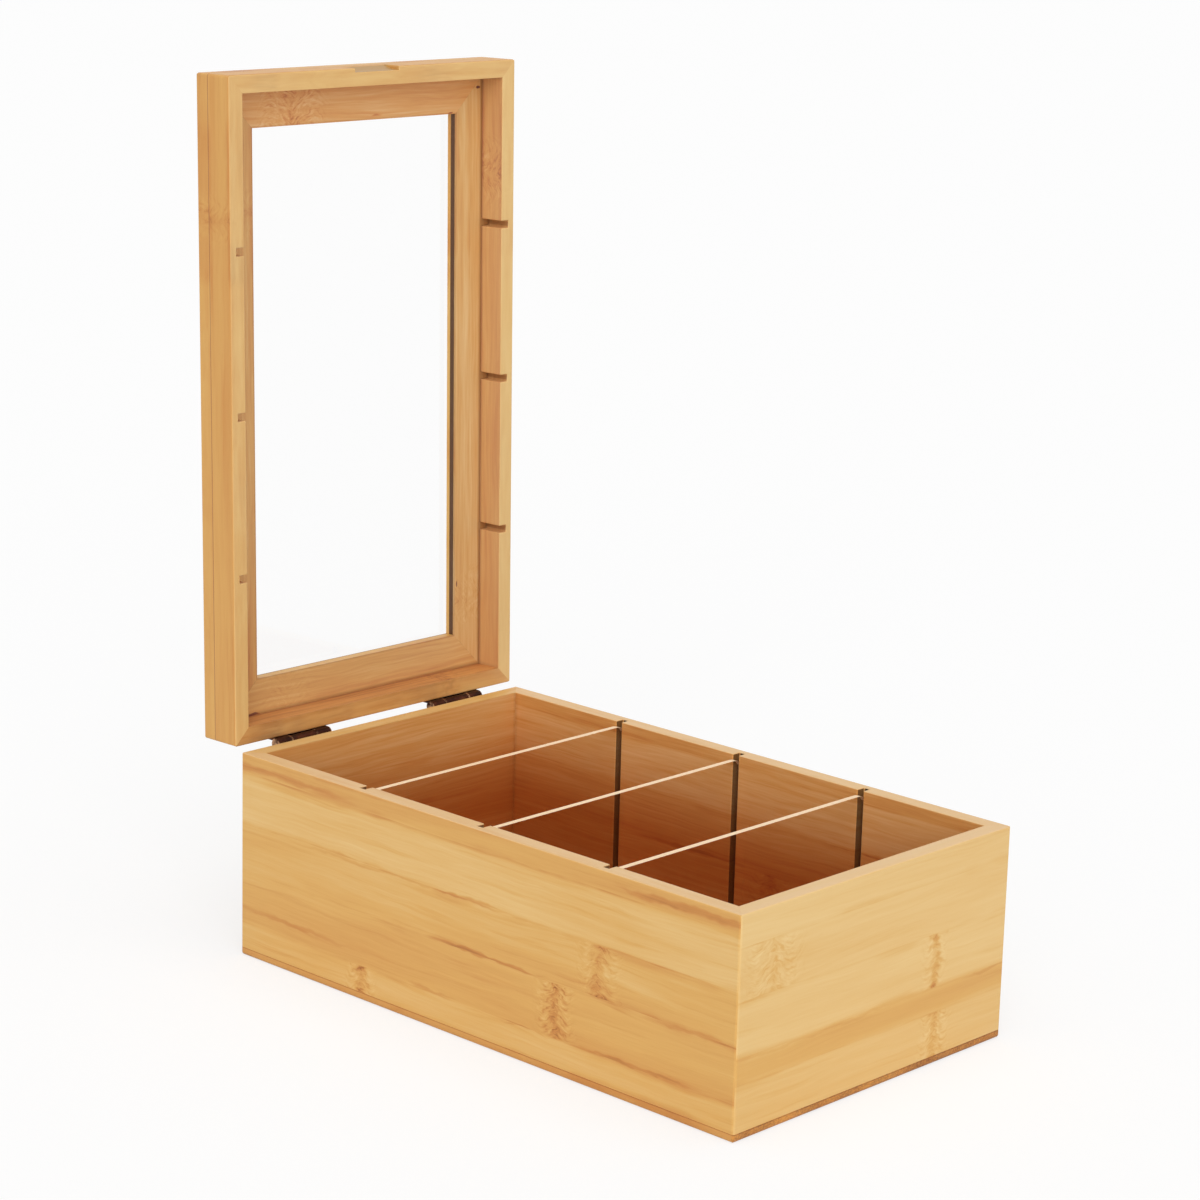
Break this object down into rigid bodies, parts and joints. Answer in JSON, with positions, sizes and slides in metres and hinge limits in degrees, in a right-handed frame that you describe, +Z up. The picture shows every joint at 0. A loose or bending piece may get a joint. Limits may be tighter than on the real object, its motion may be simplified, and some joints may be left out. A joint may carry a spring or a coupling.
{
  "type": "tea bag organizer box",
  "caption": "Long bamboo tea bag box with a hinged lid that has a clear window, and clear lift-out dividers standing in grooves across the case.",
  "frame": {"origin": "centre of the base board's flat underside", "axes": "+Z up, +X to the right seen from the front, +Y to the back, where the lid is hinged; the lid stands open"},
  "size_m": [0.151, 0.2868, 0.3442],
  "materials": {
    "case_bamboo": "satin lacquered bamboo, grain along each wall",
    "base_bamboo": "satin lacquered bamboo, grain front to back",
    "lid_bamboo": "satin lacquered bamboo, grain along each member",
    "divider_acrylic": "clear, sawn edges polished bright",
    "window_acrylic": "clear",
    "bronzed_steel": "dark bronze plating"
  },
  "bodies": {
    "case": {"base_board": "base_bamboo", "case_left_wall": "case_bamboo", "case_right_wall": "case_bamboo", "case_front_wall": "case_bamboo", "case_back_wall": "case_bamboo", "left_hinge_lower_leaf": "bronzed_steel", "right_hinge_lower_leaf": "bronzed_steel", "left_hinge_pin": "bronzed_steel", "right_hinge_pin": "bronzed_steel", "lower_hinge_screws": "bronzed_steel"},
    "lid": {"lid_left_wall": "lid_bamboo", "lid_right_wall": "lid_bamboo", "lid_front_wall": "lid_bamboo", "lid_back_wall": "lid_bamboo", "window_left_stile": "lid_bamboo", "window_right_stile": "lid_bamboo", "window_front_rail": "lid_bamboo", "window_back_rail": "lid_bamboo", "window_pane": "window_acrylic", "left_hinge_upper_leaf": "bronzed_steel", "right_hinge_upper_leaf": "bronzed_steel", "upper_hinge_screws": "bronzed_steel"},
    "back_divider": {"back_divider": "divider_acrylic"},
    "middle_divider": {"middle_divider": "divider_acrylic"},
    "front_divider": {"front_divider": "divider_acrylic"}
  },
  "joints": [
    {"name": "lid_hinge", "type": "hinge", "parent": "case", "child": "lid", "pos_m": [0, 0.1323, 0.082], "axis": [1, 0, 0], "range_deg": [0, 91]},
    {"name": "back_divider_lift", "type": "slide", "parent": "case", "child": "back_divider", "axis": [0, 0, 1], "range_m": [0, 0.013]},
    {"name": "middle_divider_lift", "type": "slide", "parent": "case", "child": "middle_divider", "axis": [0, 0, 1], "range_m": [0, 0.013]},
    {"name": "front_divider_lift", "type": "slide", "parent": "case", "child": "front_divider", "axis": [0, 0, 1], "range_m": [0, 0.013]}
  ]
}
